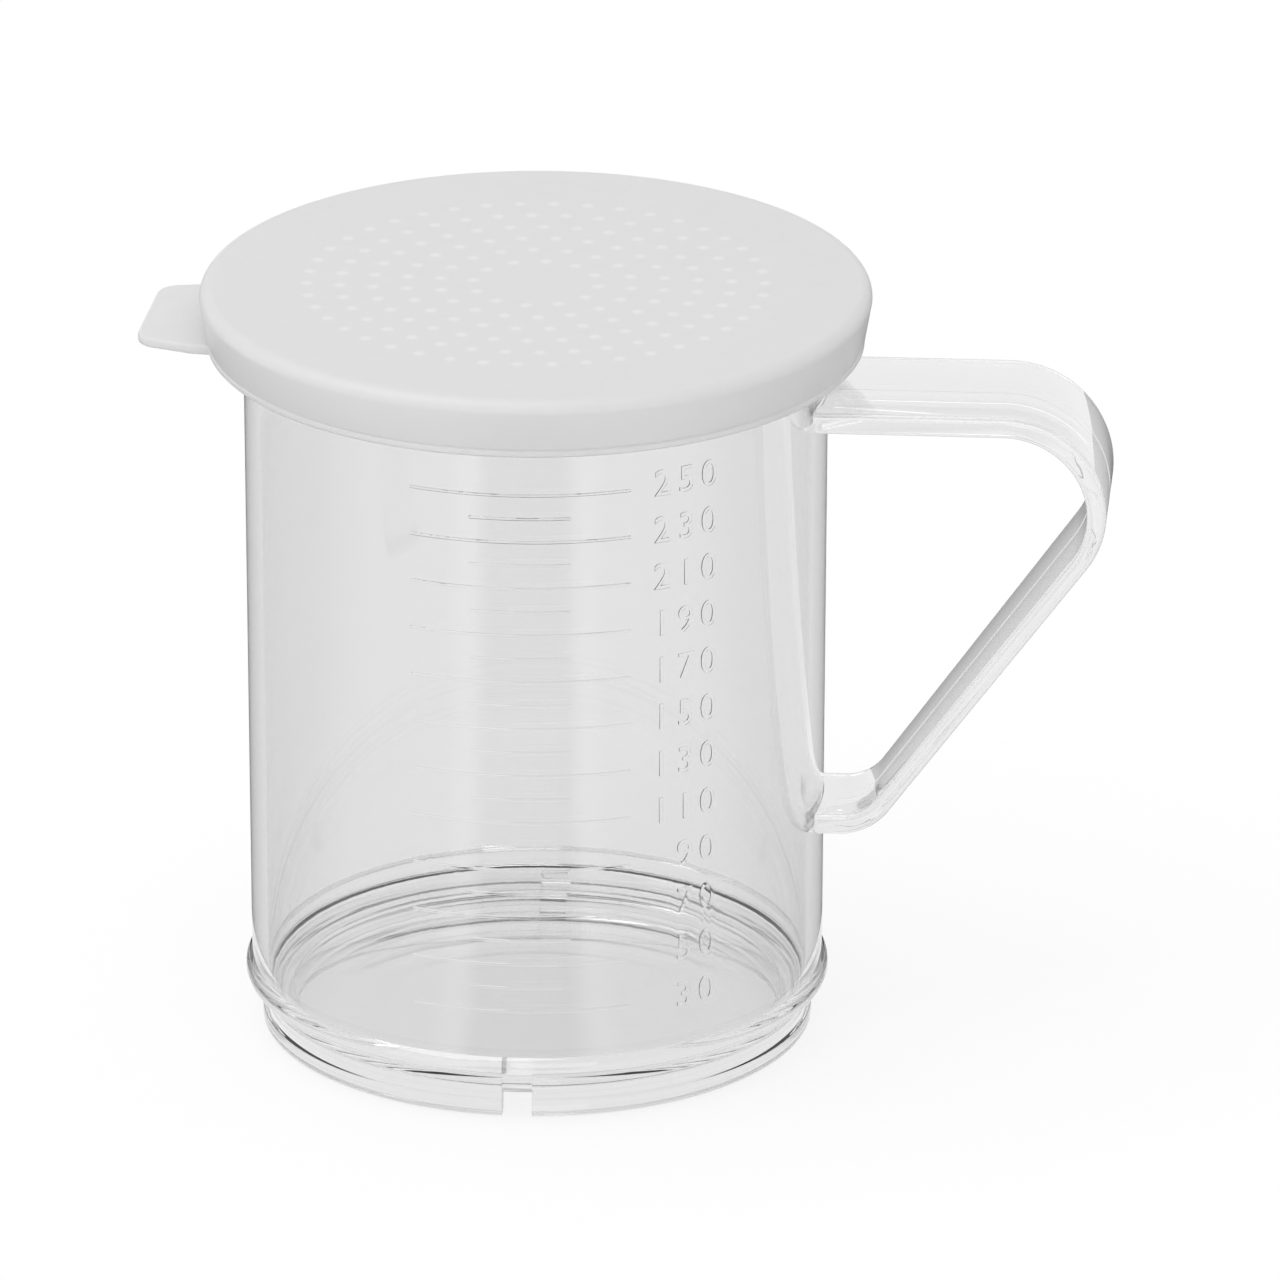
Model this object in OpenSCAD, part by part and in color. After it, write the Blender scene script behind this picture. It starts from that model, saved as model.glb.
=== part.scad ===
// Clear plastic shaker cup with a strap handle, a perforated push-on top and a snap lid.
// Millimetres, +Z up. The origin is on the cup's axis at the foot plane, and the handle is on +X.

/* [Cup] */
// Outer radius of the cup wall, carried down to the foot plane
cup_r = 34.2; // [28:0.1:45]
// Height of the rim above the foot plane
cup_h = 91; // [70:0.5:130]
// Outward lean of the wall, in degrees a side
draft = 0.4; // [0:0.05:1.5]
// Thickness of the wall
wall_t = 1.9; // [1.4:0.1:3]
// Height of the inside floor above the foot plane
floor_z = 5; // [4:0.1:8]
// Thickness of the floor
floor_t = 1.6; // [1:0.1:2.4]
// Radius of the round between the floor and the wall, inside
floor_round = 3; // [1:0.5:5]

/* [Rim] */
// How far the rim's ridge stands out from the wall
ridge_out = 1.5; // [0.8:0.1:2.5]
// Height of the rim's ridge
ridge_h = 2; // [1.5:0.1:3]
// Distance from the rim down to the top of the ridge
ridge_drop = 0.6; // [0.4:0.1:1.5]

/* [Foot] */
// How far the round bead above the foot stands out from the wall
bead_out = 0.75; // [0.3:0.05:1.2]
// Radius of the bead's section
bead_round = 1.5; // [1.2:0.1:2]
// Height of the bead's centre
bead_z = 7; // [6:0.1:9]
// How far the foot ring is set in from the wall
foot_in = 1.6; // [1:0.1:2.4]
// Thickness of the foot ring
foot_t = 2.8; // [2:0.1:4]
// Height of the lip at the bottom of the foot ring
lip_h = 2.4; // [1.5:0.1:4]
// How far the lip stands out from the foot ring
lip_out = 0.35; // [0.1:0.05:0.8]
// Width of the two drain notches in the foot ring
notch_w = 3.6; // [2:0.1:6]
// Height of the drain notches
notch_h = 5.2; // [3:0.1:5.4]
// Wall that a notch leaves behind it, above the floor's underside
notch_back = 1; // [0.6:0.1:1.5]

/* [Volume scale] */
// Lowest mark, in millilitres
scale_first = 30; // [20:10:60]
// Highest mark, in millilitres
scale_last = 250; // [100:10:260]
// Half of the angle that a long mark covers, in degrees
long_half = 22; // [10:1:40]
// Half of the angle that a short mark covers, in degrees
short_half = 10; // [5:1:20]
// How far the marks stand out from the wall
mark_out = 0.15; // [0.1:0.05:0.4]
// Height of a mark's section
mark_h = 0.4; // [0.3:0.05:0.8]

/* [Handle] */
// Distance from the cup's axis to the handle's outermost point
handle_reach = 68.5; // [58:0.5:90]
// Height of the upper arm's top face
handle_top = 81.8; // [65:0.1:110]
// Height of the lower arm's underside
handle_low = 26.7; // [15:0.1:40]
// Slope of the straight run below the bend, in degrees from level
handle_slope = 53.9; // [45:0.1:65]
// Radius of the outside of the upper bend
bend_r = 12.4; // [8:0.1:16]
// Radius of the outside of the lower bend
heel_r = 7.8; // [5:0.1:12]
// Thickness of the two arms
arm_t = 2.7; // [2:0.1:4]
// Thickness of the strap at the bend and below it
strap_t = 2.35; // [1.8:0.05:4]
// Width of the strap at the upper arm
handle_w_top = 20.3; // [12:0.1:26]
// Width of the strap at the lower arm
handle_w_low = 13.8; // [8:0.1:20]

/* [Shaker top] */
// Thickness of the perforated plate
plate_t = 1.6; // [1:0.1:3]
// Diameter of the shaking holes
hole_d = 1.3; // [0.8:0.1:2.4]
// Radius of the innermost ring of holes
ring_first = 7.5; // [5:0.1:10]
// Distance from the outermost ring of holes to the plug ring
ring_edge = 4.36; // [2:0.01:8]
// Number of rings of holes
ring_count = 6; // [2:1:6]
// Depth of the ring that plugs the cup's mouth
plug_h = 3.4; // [2:0.1:5]
// Thickness of the plug ring
plug_t = 1.2; // [0.8:0.1:2]
// Gap between the plug ring and the cup's mouth
plug_gap = 0.1; // [0.05:0.01:0.3]
// Gap between the top's skirt and the rim's ridge
skirt_gap = 0.2; // [0.1:0.05:0.4]
// Turn of the holes and the lid's tab about the axis, from straight opposite the handle
top_turn = -4.6; // [-180:0.1:180]

/* [Lid] */
// Thickness of the lid's panel
lid_t = 1.1; // [0.8:0.1:2]
// Thickness of the lid's skirt
lid_skirt_t = 1; // [0.8:0.1:1.6]
// Depth of the lid from its top face to the skirt's edge
lid_h = 7.3; // [6:0.1:12]
// Thickness of the shaker top's skirt, which the lid closes over
top_skirt_t = 1.3; // [1:0.1:2]
// Gap between the lid's edge and the shaker top
lid_gap = 0.3; // [0.2:0.05:0.6]
// How far the lid's skirt leans in towards its edge
lid_lean = 0.9; // [0.3:0.1:1.5]
// Radius of the round around the lid's top face
lid_round = 1.6; // [0.8:0.1:2.5]
// Distance from the skirt's edge to the tab's outer edge
tab_out = 7.75; // [5:0.25:14]
// Width of the tab at its outer edge
tab_w = 19; // [10:0.5:30]
// Width of the tab where it meets the skirt
tab_root_w = 21.5; // [12:0.5:32]
// Thickness of the tab
tab_t = 1.2; // [0.8:0.1:2]
// Radius of the tab's two outer corners
tab_round = 2.9; // [1:0.1:5]

/* [Hidden] */
$fn = 96;
overcut = 1;

// Radii of the cup
function wall_r(z) = cup_r + z * tan(draft);
function inside_r(z) = wall_r(z) - wall_t;
foot_r = wall_r(bead_z) - foot_in;
foot_hole_r = foot_r - foot_t;
lip_r = foot_r + lip_out;
lip_round = lip_h / 3;
bead_r = wall_r(bead_z) + bead_out - bead_round;
bead_turn = acos((wall_r(bead_z) - bead_r) / bead_round);
ridge_r = wall_r(cup_h) + ridge_out;
ridge_slope = ridge_h / 4;
ridge_low = cup_h - ridge_drop - ridge_h - ridge_slope;
under_z = floor_z - floor_t;

// The pieces above the rim
plate_top = cup_h + plate_t;
lid_top = plate_top + lid_t;
lid_edge_z = lid_top - lid_h;
top_skirt_in = ridge_r + skirt_gap;
top_r = top_skirt_in + top_skirt_t;
top_skirt_z = lid_edge_z + 0.5;
plug_r = inside_r(cup_h - plug_h) - plug_gap;
ring_step = (plug_r - plug_t - ring_edge - ring_first) / (ring_count - 1);
lid_edge_in = top_r + lid_gap;
lid_edge_r = lid_edge_in + lid_skirt_t;
lid_r = lid_edge_r + lid_lean;

// Points on an arc about c, from angle a0 to angle a1
function arc(c, r, a0, a1, n = 12) =
    [for (i = [0:n]) let (a = a0 + (a1 - a0) * i / n) c + r * [cos(a), sin(a)]];

// Volume up to height z inside the cup, in millilitres, and the height that holds a volume
function cone_ml(h) = PI * h / 3000 * (pow(inside_r(floor_z), 2) + pow(inside_r(floor_z + h), 2)
    + inside_r(floor_z) * inside_r(floor_z + h));
corner_ml = 2 * PI * inside_r(floor_z) * pow(floor_round, 2) * (1 - PI / 4) / 1000;
function level(ml, low = 0, high = 2 * cup_h, n = 24) =
    n == 0 ? floor_z + (low + high) / 2 :
    cone_ml((low + high) / 2) - corner_ml < ml ? level(ml, (low + high) / 2, high, n - 1)
    : level(ml, low, (low + high) / 2, n - 1);

function cup_outline() = concat(
    [[0, under_z], [foot_hole_r, under_z], [foot_hole_r, 0]],
    arc([lip_r - lip_round, lip_round], lip_round, -90, 0, 4),
    [[lip_r, lip_h - lip_out], [foot_r, lip_h], [foot_r, bead_z - bead_round]],
    arc([bead_r, bead_z], bead_round, -90, bead_turn),
    [[wall_r(cup_h) - 0.1, ridge_low],
     [ridge_r, cup_h - ridge_drop - ridge_h], [ridge_r, cup_h - ridge_drop - ridge_slope],
     [ridge_r - ridge_slope, cup_h - ridge_drop],
     [wall_r(cup_h), cup_h - ridge_drop], [wall_r(cup_h), cup_h], [inside_r(cup_h), cup_h]],
    arc([inside_r(floor_z + floor_round) - floor_round, floor_z + floor_round], floor_round, 0, -90, 6),
    [[0, floor_z]]);

// One raised mark at height z, centred on the cup's front
module mark(z, half) {
    rotate([0, 0, -90 - half])
        rotate_extrude(angle = 2 * half)
            translate([wall_r(z) - wall_t / 4, z - mark_h / 2])
                square([wall_t / 4 + mark_out, mark_h]);
}

// The scale ends at scale_last, or lower where the wall below the rim's ridge holds less
module marks() {
    for (ml = [scale_first:10:scale_last])
        if (level(ml) < ridge_low - mark_h)
            mark(level(ml), (ml - scale_first) % 20 == 0 ? long_half : short_half);
}

// The notches run through the foot ring, and above the floor's underside only into its outside
module notches() {
    for (side = [0, 180]) rotate([0, 0, 90 + side]) {
        translate([foot_hole_r - overcut, -notch_w / 2, -overcut])
            cube([foot_t + lip_out + 2 * overcut, notch_w, under_z - 0.6 + overcut]);
        translate([foot_r - notch_back, -notch_w / 2, -overcut])
            cube([notch_back + lip_out + overcut, notch_w, notch_h + overcut]);
    }
}

module cup() {
    color([0.9, 0.92, 0.92, 0.5]) {
        difference() {
            rotate_extrude() polygon(cup_outline());
            notches();
        }
        marks();
    }
}

// The strap's two faces are a path of two arcs, one for the bend and one for the heel.
// drop is how far the face lies below the outside face, at the arms and at the bend.
lean_turn = handle_slope - 90;
function strap_face(at_arm, at_bend) =
    let (r1 = bend_r - at_bend, r2 = heel_r - at_bend,
         c1 = [handle_reach - bend_r, handle_top - at_arm - r1],
         c2z = handle_low + at_arm + r2,
         c2 = [c1.x + (r1 - r2 - sin(lean_turn) * (c2z - c1.y)) / cos(lean_turn), c2z])
    concat([[cup_r - wall_t / 2, handle_top - at_arm]], arc(c1, r1, 90, lean_turn, 24),
        arc(c2, r2, lean_turn, -90, 10), [[cup_r - wall_t / 2, handle_low + at_arm]]);
function backwards(list) = [for (i = [len(list) - 1:-1:0]) list[i]];

module handle() {
    color([0.86, 0.88, 0.88, 0.6])
        difference() {
            intersection() {
                rotate([90, 0, 0]) linear_extrude(2 * handle_w_top, center = true)
                    polygon(concat(strap_face(0, 0), backwards(strap_face(arm_t, strap_t))));
                rotate([90, 0, 90]) linear_extrude(2 * handle_reach)
                    polygon([[-handle_w_low / 2, handle_low], [handle_w_low / 2, handle_low],
                        [handle_w_top / 2, handle_top], [-handle_w_top / 2, handle_top]]);
            }
            rotate_extrude() polygon([[0, 0], [wall_r(0), 0], [wall_r(cup_h), cup_h], [0, cup_h]]);
        }
}

module shaker_top() {
    color([0.92, 0.94, 0.94, 0.6])
        difference() {
            rotate_extrude() polygon([[0, cup_h], [plug_r - plug_t, cup_h],
                [plug_r - plug_t, cup_h - plug_h], [plug_r, cup_h - plug_h], [plug_r, cup_h],
                [top_skirt_in, cup_h], [top_skirt_in, top_skirt_z], [top_r, top_skirt_z],
                [top_r, plate_top - plate_t / 2], [top_r - plate_t / 2, plate_top], [0, plate_top]]);
            rotate([0, 0, top_turn])
                for (ring = [0:ring_count - 1], i = [0:6 * (ring + 2) - 1])
                    rotate([0, 0, i * 60 / (ring + 2)])
                        translate([ring_first + ring * ring_step, 0, cup_h - overcut])
                            cylinder(d = hole_d, h = plate_t + 2 * overcut, $fn = 16);
        }
}

function lid_outline() = concat(
    [[0, lid_top - lid_t], [lid_r - lid_skirt_t, lid_top - lid_t],
     [lid_edge_in, lid_edge_z], [lid_edge_r, lid_edge_z]],
    arc([lid_r - lid_round, lid_top - lid_round], lid_round, 0, 90, 8),
    [[0, lid_top]]);

// Outline of half of the tab, from its root to the middle of its outer edge
tab_end = lid_edge_r + tab_out;
function tab_half() = concat([[lid_edge_in * cos(30), tab_root_w / 2]],
    arc([tab_end - tab_round, tab_w / 2 - tab_round], tab_round, 84, 0, 8));

module lid() {
    color([0.93, 0.94, 0.94, 0.9]) {
        rotate_extrude() polygon(lid_outline());
        rotate([0, 0, 180 + top_turn])
            difference() {
                translate([0, 0, lid_edge_z]) linear_extrude(tab_t)
                    polygon(concat(tab_half(), backwards([for (p = tab_half()) [p.x, -p.y]])));
                translate([0, 0, lid_edge_z - overcut])
                    cylinder(r = lid_edge_in + lid_skirt_t / 2, h = tab_t + 2 * overcut);
            }
    }
}

cup();
handle();
shaker_top();
lid();
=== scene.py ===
"""Looks of a clear shaker cup with a strap handle, a perforated top and a snap lid."""
import math

import bpy
from mathutils import Matrix, Vector


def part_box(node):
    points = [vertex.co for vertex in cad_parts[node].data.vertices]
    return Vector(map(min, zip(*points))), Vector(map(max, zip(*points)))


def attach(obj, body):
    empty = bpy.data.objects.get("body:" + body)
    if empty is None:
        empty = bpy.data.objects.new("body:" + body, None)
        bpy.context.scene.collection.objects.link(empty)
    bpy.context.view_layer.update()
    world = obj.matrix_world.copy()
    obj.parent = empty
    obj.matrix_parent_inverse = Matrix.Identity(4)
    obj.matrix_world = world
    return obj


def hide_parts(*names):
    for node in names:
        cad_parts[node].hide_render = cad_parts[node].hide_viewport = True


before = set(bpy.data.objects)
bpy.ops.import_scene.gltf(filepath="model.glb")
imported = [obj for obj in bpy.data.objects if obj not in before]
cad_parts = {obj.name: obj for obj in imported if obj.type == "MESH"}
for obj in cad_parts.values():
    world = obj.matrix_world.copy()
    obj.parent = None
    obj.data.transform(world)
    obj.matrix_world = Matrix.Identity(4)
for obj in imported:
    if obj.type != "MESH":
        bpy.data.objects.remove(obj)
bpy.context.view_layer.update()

MM = 0.001
STEPS = 192          # facets round the cup's axis

# Sizes of the cup, in millimetres, as in the part's source
RIM_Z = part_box("cup")[1].z / MM
WALL_R0 = 34.2
LEAN = math.radians(0.4)
WALL_T = 1.9
FLOOR_Z = 5.0
FLOOR_T = 1.6
FLOOR_ROUND = 3.0
RIDGE_OUT = 1.5
BEAD_Z = 7.0
BEAD_R = 1.5
BEAD_OUT = 0.75
FOOT_IN = 1.6
FOOT_T = 2.8
LIP_H = 2.4
LIP_OUT = 0.35
LIP_ROUND = 0.8
NOTCH_W = 3.6
NOTCH_H = 5.2

# Sizes of the handle
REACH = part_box("handle")[1].x / MM
ARM_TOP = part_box("handle")[1].z / MM
ARM_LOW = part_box("handle")[0].z / MM
SLOPE = math.radians(53.9)
BEND_R = 12.4
HEEL_R = 7.8
ARM_T = 2.7
STRAP_T = 2.35
WIDE = 20.3
NARROW = 13.8
STRAP_ROUND = 0.7
SEAM_W = 1.1         # the parting line, a shallow band along the middle of both faces
SEAM_DEEP = 0.05

# Sizes of the perforated top and the lid
HOLE_R = 0.65
RING_COUNT = 6
PLUG_H = 3.4
PLUG_T = 1.2
PLUG_GAP = 0.1
TOP_SKIRT_T = 1.3
TOP_ROUND = 0.8
RING_FIRST = 7.5
RING_STEP = 3.95
TOP_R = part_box("shaker_top")[1].x / MM
PLATE_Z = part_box("shaker_top")[1].z / MM
SKIRT_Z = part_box("shaker_top")[0].z / MM
TURN = math.radians(-4.6)
LID_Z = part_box("lid")[1].z / MM
LID_EDGE_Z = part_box("lid")[0].z / MM
LID_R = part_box("lid")[1].y / MM - 0.01
LID_LEAN = 0.9
LID_T = 1.1
LID_SKIRT_T = 1.0
LID_ROUND = 1.6
TAB_OUT = 7.72
TAB_W = 19.0
TAB_ROOT_W = 21.5
TAB_T = 1.2
TAB_ROUND = 2.9
TAB_EDGE = 0.35      # round along the tab's edges
AIR = 0.06           # gap kept between two pieces that touch

# The scale: its first and last mark in millilitres, its marks and figures, and angles in degrees
FIRST_ML, LAST_ML = 30, 250
MARK_OUT = 0.13
MARK_H = 0.36
MARK_EDGE = 0.08      # how far the corners of a mark's section are cut back
ROOT = 0.5            # how far a mark reaches into the wall
LONG_HALF = 22
SHORT_HALF = 10
MARK_TURN = 1         # the marks' middle, from straight in front
NUMBER_EDGE = 42.8    # the right edge of the figures
NUMBER_RISE = 0.2     # height of a figure's middle over its mark
DIGIT_SIZE = 4.7
DIGIT_PITCH = 3.2
DIGIT_DEEP = 0.24     # half of a figure's thickness
DIGIT_OUT = 0.12

# Tones
CUP_TINT = (0.862, 0.862, 0.862)
HANDLE_TINT = (0.83, 0.83, 0.83)
TOP_TINT = (0.73, 0.73, 0.73)
LID_TONE = 0.79
LID_CLEAR = 0.3
FLOOR_GLOW = 0.85
FLOOR_GAP = 0.00015
CARD_NEAR, CARD_FAR = 48, 900
CARD_TONES = ((-170, 0.15), (-90, 0.15), (-52, 1.0), (-30, 1.15), (-20, 1.7), (-11, 0.3), (12, 0.2),
              (22, 1.6), (32, 1.15), (56, 1.0), (92, 0.15), (170, 0.15))
ROOM_LOW = 1.0
ROOM_HIGH = 0.8


def wall_r(z):
    return WALL_R0 + z * math.tan(LEAN)


def arc(cx, cz, r, start, end, n):
    """Points on an arc, from one angle to another, in degrees."""
    turns = [math.radians(start + (end - start) * i / n) for i in range(n + 1)]
    return [(cx + r * math.cos(a), cz + r * math.sin(a)) for a in turns]


# ---------------------------------------------------------------- modelling

def clear_selection():
    if bpy.context.object and bpy.context.object.mode != "OBJECT":
        bpy.ops.object.mode_set(mode="OBJECT")
    bpy.ops.object.select_all(action="DESELECT")


def pick(piece):
    clear_selection()
    piece.select_set(True)
    bpy.context.view_layer.objects.active = piece


def select_all():
    bpy.ops.mesh.select_all(action="SELECT")


def extrude(step):
    """Extrudes what is selected by a vector in metres."""
    bpy.ops.mesh.extrude_region_move(TRANSFORM_OT_translate={"value": step})


def spin(steps, degrees):
    bpy.ops.mesh.spin(steps=steps, angle=math.radians(degrees), center=(0, 0, 0), axis=(0, 0, 1))


def draw(name, points, plane="XZ", close=False):
    """Draws an outline, in millimetres, by extruding one vertex from point to point. Leaves edit mode on."""
    clear_selection()
    bpy.ops.mesh.primitive_plane_add(size=MM)
    piece = bpy.context.object
    piece.name = piece.data.name = name
    bpy.ops.object.mode_set(mode="EDIT")
    bpy.ops.mesh.merge(type="CENTER")
    across, up = (Vector([float(axis == letter) for axis in "XYZ"]) * MM for letter in plane)
    spots = [across * p[0] + up * p[1] for p in points]
    bpy.ops.transform.translate(value=spots[0])
    for here, there in zip(spots, spots[1:]):
        extrude(there - here)
    if close:
        select_all()
        bpy.ops.mesh.edge_face_add()
    return piece


def tidy_mesh():
    """Merges doubles and points every face outwards, in edit mode, then leaves it."""
    select_all()
    bpy.ops.mesh.remove_doubles(threshold=1e-7)
    select_all()
    bpy.ops.mesh.normals_make_consistent(inside=False)
    bpy.ops.object.mode_set(mode="OBJECT")


def turned(name, points, steps=STEPS):
    """A solid of revolution about the cup's axis, from an outline that starts and ends on it."""
    piece = draw(name, points)
    select_all()
    spin(steps, 360)
    tidy_mesh()
    return piece


def combine(piece, other, operation):
    """Joins another solid to a piece, or cuts it away, and removes the other."""
    pick(piece)
    step = piece.modifiers.new(operation, "BOOLEAN")
    step.operation = operation
    step.solver = "EXACT"
    step.object = other
    bpy.ops.object.modifier_apply(modifier=step.name)
    bpy.data.objects.remove(other, do_unlink=True)


def bevel(piece, width, segments, angle):
    """Rounds the edges that turn by more than an angle, in degrees."""
    pick(piece)
    step = piece.modifiers.new("edge", "BEVEL")
    step.width, step.segments = width * MM, segments
    step.limit_method, step.angle_limit = "ANGLE", math.radians(angle)
    bpy.ops.object.modifier_apply(modifier=step.name)


def joined(pieces):
    """Makes one object of several, each with its place in the mesh."""
    clear_selection()
    for p in pieces:
        p.select_set(True)
    bpy.context.view_layer.objects.active = pieces[0]
    if len(pieces) > 1:
        bpy.ops.object.join()
    bpy.ops.object.transform_apply(location=True, rotation=True, scale=True)
    return bpy.context.object


def smooth(piece, angle, crack=0.002):
    """Closes the cracks that cuts leave, a few microns wide, and smooths all but the real edges."""
    pick(piece)
    if crack:
        bpy.ops.object.mode_set(mode="EDIT")
        select_all()
        bpy.ops.mesh.remove_doubles(threshold=crack * MM)
        bpy.ops.mesh.dissolve_degenerate(threshold=crack / 2 * MM)
        bpy.ops.object.mode_set(mode="OBJECT")
    bpy.ops.object.shade_smooth_by_angle(angle=math.radians(angle))


def cup_outline():
    foot_r = wall_r(BEAD_Z) - FOOT_IN
    lip_r = foot_r + LIP_OUT
    bead_c = wall_r(BEAD_Z) + BEAD_OUT - BEAD_R
    bead_turn = math.degrees(math.acos((wall_r(BEAD_Z) - bead_c) / BEAD_R))
    ridge = wall_r(RIM_Z) + RIDGE_OUT
    inside = wall_r(FLOOR_Z + FLOOR_ROUND) - WALL_T - FLOOR_ROUND
    under = FLOOR_Z - FLOOR_T
    points = [(0, under)]
    points += arc(foot_r - FOOT_T - 0.5, under - 0.5, 0.5, 90, 0, 4)
    points += [(foot_r - FOOT_T, 0.4)]
    points += arc(foot_r - FOOT_T + 0.4, 0.4, 0.4, 180, 270, 4)[1:]
    points += arc(lip_r - LIP_ROUND, LIP_ROUND, LIP_ROUND, -90, 0, 6)
    points += arc(lip_r - 0.3, LIP_H - 0.45, 0.3, 0, 70, 4)
    points += [(foot_r, LIP_H)]
    points += arc(foot_r + 0.5, BEAD_Z - BEAD_R - 0.35, 0.5, 180, 120, 4)
    points += arc(bead_c, BEAD_Z, BEAD_R, -75, bead_turn, 14)
    points += [(wall_r(z), z) for z in (12, 20, 30, 40, 50, 60, 70, 80)]
    points += [(wall_r(RIM_Z - 3.1), RIM_Z - 3.1), (ridge - 0.2, RIM_Z - 2.7), (ridge, RIM_Z - 2.5),
               (ridge, RIM_Z - 1.1), (ridge - 0.5, RIM_Z - 0.6)]
    points += arc(wall_r(RIM_Z) - 0.4, RIM_Z - 0.4, 0.4, 0, 90, 4)
    points += arc(wall_r(RIM_Z) - WALL_T + 0.4, RIM_Z - 0.4, 0.4, 90, 180, 4)
    points += [(wall_r(z) - WALL_T, z) for z in (80, 70, 60, 50, 40, 30, 20, 12)]
    points += arc(inside, FLOOR_Z + FLOOR_ROUND, FLOOR_ROUND, 0, -90, 12)
    points += [(0, FLOOR_Z)]
    return points


def box(name, low, high):
    """A plain block between two corners, in millimetres, for cutting with."""
    clear_selection()
    low, high = Vector(low) * MM, Vector(high) * MM
    bpy.ops.mesh.primitive_cube_add(size=1, location=(low + high) / 2, scale=high - low)
    block = bpy.context.object
    block.name = name
    bpy.ops.object.transform_apply(location=True, rotation=True, scale=True)
    return block


def inside_ml(height):
    """Millilitres that the cup holds up to a height above its floor."""
    low, high = wall_r(FLOOR_Z) - WALL_T, wall_r(FLOOR_Z + height) - WALL_T
    corner = 2 * math.pi * low * FLOOR_ROUND ** 2 * (1 - math.pi / 4)
    return (math.pi * height / 3 * (low * low + high * high + low * high) - corner) / 1000


def level(ml):
    """Height of the surface of so many millilitres, above the foot plane."""
    low, high = 0.0, RIM_Z
    for _ in range(40):
        middle = (low + high) / 2
        low, high = (middle, high) if inside_ml(middle) < ml else (low, middle)
    return FLOOR_Z + low


def mark(ml, half):
    """One raised line of the scale, round the front of the wall."""
    z, r, h = level(ml), wall_r(level(ml)), MARK_H / 2
    out = r + MARK_OUT
    line = draw("mark", [(r - ROOT, z - h), (out - MARK_EDGE, z - h), (out, z - h / 2), (out, z + h / 2),
                         (out - MARK_EDGE, z + h), (r - ROOT, z + h)], close=True)
    select_all()
    bpy.ops.transform.rotate(value=math.radians(90 - half - MARK_TURN), orient_axis="Z",
                             center_override=(0, 0, 0))
    spin(half, 2 * half)
    tidy_mesh()
    return line


def digit(char, right, z, half_w):
    """One raised figure, flat against the wall, with its middle half_w left of the right edge."""
    clear_selection()
    bpy.ops.object.text_add(location=(0, 0, 0))
    text = bpy.context.object
    text.data.body = char
    text.data.size = DIGIT_SIZE * MM
    text.data.extrude = DIGIT_DEEP * MM
    text.data.align_x, text.data.align_y = "CENTER", "CENTER"
    text.data.resolution_u = 4
    bpy.ops.object.convert(target="MESH")
    figure = bpy.context.object
    turn = right - math.degrees(half_w / wall_r(z))
    place = (Matrix.Rotation(math.radians(turn), 4, "Z")
             @ Matrix.Translation(Vector((0, -(wall_r(z) - DIGIT_DEEP + DIGIT_OUT), z)) * MM)
             @ Matrix.Rotation(math.radians(90) - LEAN, 4, "X"))
    figure.matrix_world = place
    bpy.ops.object.transform_apply(location=True, rotation=True, scale=True)
    pick(figure)
    bpy.ops.object.mode_set(mode="EDIT")
    tidy_mesh()
    return figure


def make_cup():
    cup = turned("cup_wall", cup_outline())
    foot_r = wall_r(BEAD_Z) - FOOT_IN
    for side in (-1, 1):
        for low, high, top in ((foot_r - FOOT_T - 1, foot_r + 2, FLOOR_Z - FLOOR_T - 0.6),
                               (foot_r - 1, foot_r + 2, NOTCH_H)):
            near, far = sorted((side * low, side * high))
            combine(cup, box("notch", (-NOTCH_W / 2, near, -1), (NOTCH_W / 2, far, top)), "DIFFERENCE")
    relief = [mark(ml, LONG_HALF if ml % 20 == 10 else SHORT_HALF)
              for ml in range(FIRST_ML, LAST_ML + 1, 10)]
    for ml in range(FIRST_ML, LAST_ML + 1, 20):
        for place, char in enumerate(reversed(str(ml))):
            relief.append(digit(char, NUMBER_EDGE, level(ml) + NUMBER_RISE, DIGIT_PITCH * (place + 0.5)))
    combine(cup, joined(relief), "UNION")
    smooth(cup, 30)
    return cup


def strap_face(at_arm, at_bend):
    """One face of the strap, from the wall over the bend and the heel and back to the wall."""
    r1, r2, turn = BEND_R - at_bend, HEEL_R - at_bend, SLOPE - math.pi / 2
    c1 = (REACH - BEND_R, ARM_TOP - at_arm - r1)
    c2z = ARM_LOW + at_arm + r2
    c2x = c1[0] + (r1 - r2 - math.sin(turn) * (c2z - c1[1])) / math.cos(turn)
    return ([(WALL_R0 - 0.6, ARM_TOP - at_arm)] + arc(*c1, r1, 90, math.degrees(turn), 40)
            + arc(c2x, c2z, r2, math.degrees(turn), -90, 20) + [(WALL_R0 - 0.6, ARM_LOW + at_arm)])


def strap(name, inset, width):
    """The strap's side outline, drawn in by inset all round, and extruded to a width."""
    outline = strap_face(inset, inset) + strap_face(ARM_T - inset, STRAP_T - inset)[::-1]
    piece = draw(name, outline, close=True)
    select_all()
    bpy.ops.transform.translate(value=(0, -width / 2 * MM, 0))
    extrude((0, width * MM, 0))
    tidy_mesh()
    return piece


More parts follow.
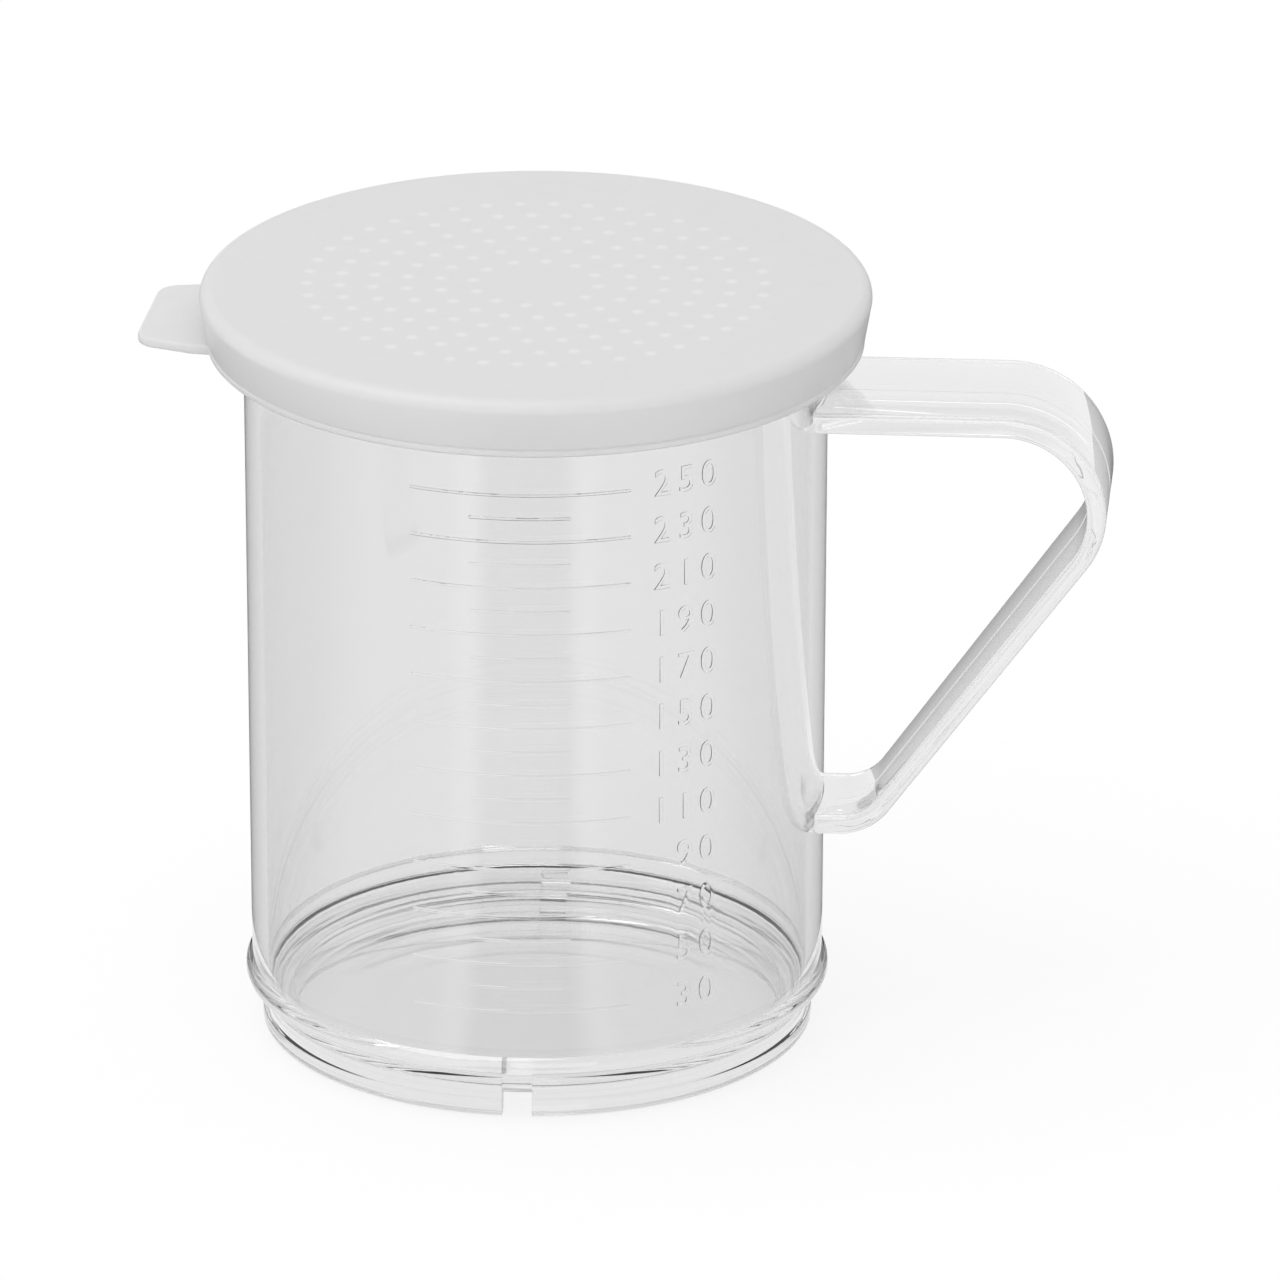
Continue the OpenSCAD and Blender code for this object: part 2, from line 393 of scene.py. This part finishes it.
def make_handle():
    handle = strap("strap", 0, WIDE + 2)
    wedge = draw("taper", [(-NARROW / 2, ARM_LOW), (NARROW / 2, ARM_LOW), (WIDE / 2, ARM_TOP),
                           (-WIDE / 2, ARM_TOP)], plane="YZ", close=True)
    extrude(((REACH + 5) * MM, 0, 0))
    tidy_mesh()
    combine(handle, wedge, "INTERSECT")
    bevel(handle, STRAP_ROUND, 4, 60)
    groove = box("groove", (WALL_R0 + 2, -SEAM_W / 2, ARM_LOW - 2), (REACH + 2, SEAM_W / 2, ARM_TOP + 2))
    combine(groove, strap("core", SEAM_DEEP, 3 * SEAM_W), "DIFFERENCE")
    combine(handle, groove, "DIFFERENCE")
    inside = turned("wall_cut", [(0, 5), (wall_r(5) + AIR, 5), (wall_r(88) + AIR, 88), (0, 88)])
    combine(handle, inside, "DIFFERENCE")
    smooth(handle, 30, crack=0)
    return handle


def make_top():
    plug, plug_z = wall_r(RIM_Z - PLUG_H) - WALL_T - PLUG_GAP, RIM_Z - PLUG_H
    inner, under, over = TOP_R - TOP_SKIRT_T, RIM_Z + AIR, PLATE_Z - AIR
    top = turned("sprinkler", [
        (0, under), (plug - PLUG_T, under), (plug - PLUG_T, plug_z + 0.2), (plug - PLUG_T + 0.2, plug_z),
        (plug - 0.4, plug_z), (plug, plug_z + 0.4), (plug, under), (inner, under),
        (inner, SKIRT_Z + 0.2), (inner + 0.2, SKIRT_Z), (TOP_R - 0.3, SKIRT_Z), (TOP_R, SKIRT_Z + 0.3)]
        + arc(TOP_R - TOP_ROUND, over - TOP_ROUND, TOP_ROUND, 0, 90, 6) + [(0, over)])
    pins = []
    for ring in range(RING_COUNT):
        count = 6 * (ring + 2)
        for i in range(count):
            a = TURN + 2 * math.pi * i / count
            r = RING_FIRST + ring * RING_STEP
            spot = Vector((r * math.cos(a), r * math.sin(a), RIM_Z + 0.8)) * MM
            clear_selection()
            bpy.ops.mesh.primitive_cylinder_add(vertices=16, radius=HOLE_R * MM, depth=4 * MM, location=spot)
            pins.append(bpy.context.object)
    combine(top, joined(pins), "DIFFERENCE")
    smooth(top, 30)
    return top


def make_lid():
    edge_in, edge_out, edge_z = LID_R - LID_LEAN - LID_SKIRT_T, LID_R - LID_LEAN, LID_EDGE_Z
    lid = turned("cap", [
        (0, LID_Z - LID_T), (LID_R - 1.8, LID_Z - LID_T), (LID_R - 1.1, LID_Z - LID_T - 0.7),
        (edge_in, edge_z + 0.3), (edge_in + 0.2, edge_z), (edge_out - 0.25, edge_z),
        (edge_out, edge_z + 0.25), (edge_out + 0.05, edge_z + 0.7), (edge_out - 0.12, edge_z + 0.95),
        (edge_out + 0.12, edge_z + 1.3)]
        + arc(LID_R - LID_ROUND, LID_Z - LID_ROUND, LID_ROUND, 0, 90, 12) + [(0, LID_Z)])
    end = edge_out + TAB_OUT
    half = [(edge_in * math.cos(math.radians(16)), TAB_ROOT_W / 2), (edge_out + 0.6, TAB_ROOT_W / 2)]
    half += arc(end - TAB_ROUND, TAB_W / 2 - TAB_ROUND, TAB_ROUND, 84, 0, 12)
    tab = draw("tab", half + [(x, -y) for x, y in reversed(half)], plane="XY", close=True)
    select_all()
    bpy.ops.transform.translate(value=(0, 0, LID_EDGE_Z * MM))
    extrude((0, 0, TAB_T * MM))
    tidy_mesh()
    bevel(tab, TAB_EDGE, 3, 50)
    tab.rotation_euler = (0, 0, math.pi + TURN)
    bpy.ops.object.transform_apply(location=True, rotation=True, scale=True)
    hole = turned("tab_cut", [(0, 80), (edge_in + 0.5, 80), (edge_in + 0.5, 95), (0, 95)])
    combine(tab, hole, "DIFFERENCE")
    combine(lid, tab, "UNION")
    smooth(lid, 35)
    return lid


# ---------------------------------------------------------------- looks

def new_material(name):
    mat = bpy.data.materials.new(name)
    mat.use_nodes = True
    nodes, links = mat.node_tree.nodes, mat.node_tree.links
    return mat, nodes, links, nodes["Principled BSDF"]


def vary(nodes, links, shader, scale, low, high, bump):
    """Small changes of roughness and of surface, from noise in the piece's own coordinates."""
    place = nodes.new("ShaderNodeTexCoord")
    noise = nodes.new("ShaderNodeTexNoise")
    noise.inputs["Scale"].default_value = scale
    noise.inputs["Detail"].default_value = 4
    spread = nodes.new("ShaderNodeMapRange")
    spread.inputs["From Min"].default_value, spread.inputs["From Max"].default_value = 0.3, 0.7
    spread.inputs["To Min"].default_value, spread.inputs["To Max"].default_value = low, high
    relief = nodes.new("ShaderNodeBump")
    relief.inputs["Strength"].default_value = bump
    relief.inputs["Distance"].default_value = 0.0002
    links.new(place.outputs["Object"], noise.inputs["Vector"])
    links.new(noise.outputs["Fac"], spread.inputs["Value"])
    links.new(spread.outputs["Result"], shader.inputs["Roughness"])
    links.new(noise.outputs["Fac"], relief.inputs["Height"])
    links.new(relief.outputs["Normal"], shader.inputs["Normal"])
    return noise


def clear_plastic(name, tint, scale, low, high, bump):
    mat, nodes, links, shader = new_material(name)
    shader.inputs["Base Color"].default_value = (*tint, 1)
    shader.inputs["Transmission Weight"].default_value = 1
    shader.inputs["IOR"].default_value = 1.58
    vary(nodes, links, shader, scale, low, high, bump)
    return mat


def hole_light(nodes, links):
    """Painted light: one lighter spot in the lid's colour over each hole of the plate below, standing in for
    light that comes through the hole, fading to nothing round it.
    """
    def calc(operation, a, b=0.0, c=0.0):
        step = nodes.new("ShaderNodeMath")
        step.operation = operation
        for slot, value in zip(step.inputs, (a, b, c)):
            if hasattr(value, "links"):
                links.new(value, slot)
            else:
                slot.default_value = value
        return step.outputs[0]

    place = nodes.new("ShaderNodeTexCoord")
    split = nodes.new("ShaderNodeSeparateXYZ")
    links.new(place.outputs["Object"], split.inputs[0])
    x, y = split.outputs["X"], split.outputs["Y"]
    r = calc("DIVIDE", calc("SQRT", calc("ADD", calc("MULTIPLY", x, x), calc("MULTIPLY", y, y))), MM)
    ring = calc("ROUND", calc("DIVIDE", calc("SUBTRACT", r, RING_FIRST), RING_STEP))
    ring = calc("MINIMUM", calc("MAXIMUM", ring, 0.0), RING_COUNT - 1)
    ring_r = calc("MULTIPLY_ADD", ring, RING_STEP, RING_FIRST)
    count = calc("MULTIPLY", calc("ADD", ring, 2.0), 6 / (2 * math.pi))
    turn = calc("MULTIPLY", calc("SUBTRACT", calc("ARCTAN2", y, x), TURN), count)
    along = calc("DIVIDE", calc("MULTIPLY", calc("SUBTRACT", turn, calc("ROUND", turn)), ring_r), count)
    across = calc("SUBTRACT", r, ring_r)
    away = calc("SQRT", calc("ADD", calc("MULTIPLY", along, along), calc("MULTIPLY", across, across)))
    fade = nodes.new("ShaderNodeMapRange")
    fade.interpolation_type = "SMOOTHSTEP"
    links.new(away, fade.inputs["Value"])
    for slot, value in (("From Min", 0.3), ("From Max", 1.0), ("To Min", 1.0), ("To Max", 0.0)):
        fade.inputs[slot].default_value = value
    return fade.outputs["Result"]


def white_plastic(name):
    mat, nodes, links, shader = new_material(name)
    noise = vary(nodes, links, shader, 420, 0.38, 0.5, 0.04)
    tone = nodes.new("ShaderNodeValToRGB")
    tone.color_ramp.elements[0].color = (*[LID_TONE * 0.98] * 3, 1)
    tone.color_ramp.elements[1].color = (*[LID_TONE] * 3, 1)
    links.new(noise.outputs["Fac"], tone.inputs["Fac"])
    # Painted light: the lid's base colour turns 9% lighter over each hole of the plate below, standing in for
    # light that comes through the holes.
    glow = nodes.new("ShaderNodeMix")
    glow.data_type = "RGBA"
    links.new(hole_light(nodes, links), glow.inputs["Factor"])
    links.new(tone.outputs["Color"], glow.inputs["A"])
    glow.inputs["B"].default_value = (*[LID_TONE * 1.09] * 3, 1)
    links.new(glow.outputs["Result"], shader.inputs["Base Color"])
    shader.inputs["Subsurface Weight"].default_value = 0.15
    shader.inputs["Subsurface Radius"].default_value = (1, 1, 1)
    shader.inputs["Subsurface Scale"].default_value = 0.001
    shader.inputs["Transmission Weight"].default_value = LID_CLEAR
    return mat


def dress(piece, mat, node, body):
    piece.data.materials.clear()
    piece.data.materials.append(mat)
    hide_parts(node)
    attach(piece, body)


dress(make_cup(), clear_plastic("clear_cup_looks", CUP_TINT, 300, 0.0, 0.03, 0.01), "cup", "cup")
dress(make_handle(), clear_plastic("clear_handle_looks", HANDLE_TINT, 240, 0.0, 0.05, 0.01),
      "handle", "cup")
dress(make_top(), clear_plastic("clear_top_looks", TOP_TINT, 260, 0.02, 0.08, 0.01),
      "shaker_top", "shaker_top")
dress(make_lid(), white_plastic("white_lid_looks"), "lid", "lid")


# ---------------------------------------------------------------- stage

def light_path_any(nodes, links, names):
    """One where a ray is any of the named kinds."""
    path, last = nodes.new("ShaderNodeLightPath"), None
    for name in names:
        if last is None:
            last = path.outputs[name]
            continue
        most = nodes.new("ShaderNodeMath")
        most.operation = "MAXIMUM"
        links.new(last, most.inputs[0])
        links.new(path.outputs[name], most.inputs[1])
        last = most.outputs[0]
    return last


def make_floor():
    clear_selection()
    bpy.ops.mesh.primitive_plane_add(size=6, location=(0, 0, -FLOOR_GAP))
    floor = bpy.context.object
    floor.name = "stage_floor"
    mat = bpy.data.materials.new("stage_floor_looks")
    mat.use_nodes = True
    nodes, links = mat.node_tree.nodes, mat.node_tree.links
    nodes.remove(nodes["Principled BSDF"])
    lit = nodes.new("ShaderNodeBsdfDiffuse")
    lit.inputs["Color"].default_value = (0.9, 0.9, 0.9, 1)
    glow = nodes.new("ShaderNodeEmission")
    mix = nodes.new("ShaderNodeMixShader")
    seen = light_path_any(nodes, links, ("Is Camera Ray", "Is Glossy Ray", "Is Transmission Ray"))
    part = nodes.new("ShaderNodeMath")
    part.operation = "MULTIPLY"
    part.inputs[1].default_value = FLOOR_GLOW
    links.new(seen, part.inputs[0])
    links.new(part.outputs[0], mix.inputs["Fac"])
    links.new(lit.outputs["BSDF"], mix.inputs[1])
    links.new(glow.outputs["Emission"], mix.inputs[2])
    links.new(mix.outputs["Shader"], nodes["Material Output"].inputs["Surface"])
    floor.data.materials.append(mat)


def make_world():
    world = bpy.data.worlds.new("room")
    bpy.context.scene.world = world
    world.use_nodes = True
    nodes, links = world.node_tree.nodes, world.node_tree.links
    back = nodes["Background"]
    back.inputs["Strength"].default_value = 1
    place = nodes.new("ShaderNodeTexCoord")
    split = nodes.new("ShaderNodeSeparateXYZ")
    tones = nodes.new("ShaderNodeValToRGB")
    tones.color_ramp.elements[0].position, tones.color_ramp.elements[0].color = 0.5, (*[ROOM_LOW] * 3, 1)
    tones.color_ramp.elements[1].position, tones.color_ramp.elements[1].color = 0.95, (*[ROOM_HIGH] * 3, 1)
    half = nodes.new("ShaderNodeMapRange")
    half.inputs["From Min"].default_value = -1
    links.new(place.outputs["Generated"], split.inputs[0])
    links.new(split.outputs["Z"], half.inputs["Value"])
    links.new(half.outputs["Result"], tones.inputs["Fac"])
    mix = nodes.new("ShaderNodeMix")
    mix.data_type = "RGBA"
    seen = light_path_any(nodes, links, ("Is Camera Ray",))
    links.new(seen, mix.inputs["Factor"])
    links.new(tones.outputs["Color"], mix.inputs["A"])
    mix.inputs["B"].default_value = (1, 1, 1, 1)
    links.new(mix.outputs["Result"], back.inputs["Color"])


def make_card():
    """A ring on the floor that only reflections show: the dark and pale sides of the room, by their angle."""
    card = draw("card", [(CARD_NEAR, 0.4), (CARD_FAR, 0.4)])
    select_all()
    spin(72, 360)
    tidy_mesh()
    mat = bpy.data.materials.new("card_looks")
    mat.use_nodes = True
    nodes, links = mat.node_tree.nodes, mat.node_tree.links
    place = nodes.new("ShaderNodeTexCoord")
    split = nodes.new("ShaderNodeSeparateXYZ")
    turn, part, flip = (nodes.new("ShaderNodeMath") for _ in range(3))
    tones = nodes.new("ShaderNodeValToRGB")
    turn.operation, part.operation, flip.operation = "ARCTAN2", "MULTIPLY_ADD", "MULTIPLY"
    flip.inputs[1].default_value = -1
    part.inputs[1].default_value, part.inputs[2].default_value = 1 / (2 * math.pi), 0.5
    links.new(place.outputs["Object"], split.inputs[0])
    links.new(split.outputs["Y"], flip.inputs[0])
    links.new(split.outputs["X"], turn.inputs[0])
    links.new(flip.outputs[0], turn.inputs[1])
    links.new(turn.outputs[0], part.inputs[0])
    links.new(part.outputs[0], tones.inputs["Fac"])
    tones.color_ramp.interpolation = "EASE"
    for number, (angle, tone) in enumerate(CARD_TONES):
        spots = tones.color_ramp.elements
        spot = spots[number] if number < 2 else spots.new(0.999)
        spot.position, spot.color = 0.5 + angle / 360, (tone, tone, tone, 1)
    glow = nodes.new("ShaderNodeEmission")
    links.new(tones.outputs["Color"], glow.inputs["Color"])
    links.new(glow.outputs["Emission"], nodes["Material Output"].inputs["Surface"])
    card.data.materials.append(mat)
    for kind in ("camera", "diffuse", "transmission", "volume_scatter", "shadow"):
        setattr(card, "visible_" + kind, False)


def make_lamp(name, place, size, power, aim=(0, 0, 0.05)):
    clear_selection()
    bpy.ops.object.light_add(type="AREA", location=place)
    lamp = bpy.context.object
    lamp.name = name
    lamp.data.size, lamp.data.energy = size, power
    lamp.rotation_euler = (Vector(aim) - Vector(place)).to_track_quat("-Z", "Y").to_euler()


def make_camera():
    turn, rise = math.radians(4), math.radians(21.5)
    way = Vector((math.cos(rise) * math.sin(turn), -math.cos(rise) * math.cos(turn), math.sin(rise)))
    side = Vector((math.cos(turn), math.sin(turn), 0))
    clear_selection()
    bpy.ops.object.camera_add(location=Vector((0, 0, 0.04815)) + way * 2.44 + side * 0.01238)
    cam = bpy.context.object
    cam.name = "shot"
    cam.rotation_euler = way.to_track_quat("Z", "Y").to_euler()
    cam.data.lens, cam.data.sensor_width = 573.7, 36
    cam.data.clip_start, cam.data.clip_end = 0.1, 20
    bpy.context.scene.camera = cam


make_floor()
make_card()
make_world()
make_lamp("soft_top", (-0.5, -0.3, 1.4), 1.2, 9)
make_lamp("soft_front", (0.3, -1.6, 0.6), 1.0, 3)
make_camera()
bpy.context.scene.cycles.transmission_bounces = 20
bpy.context.scene.cycles.glossy_bounces = 20
bpy.context.scene.cycles.max_bounces = 28
bpy.context.scene.cycles.transparent_max_bounces = 20
bpy.context.scene.view_settings.view_transform = "Standard"
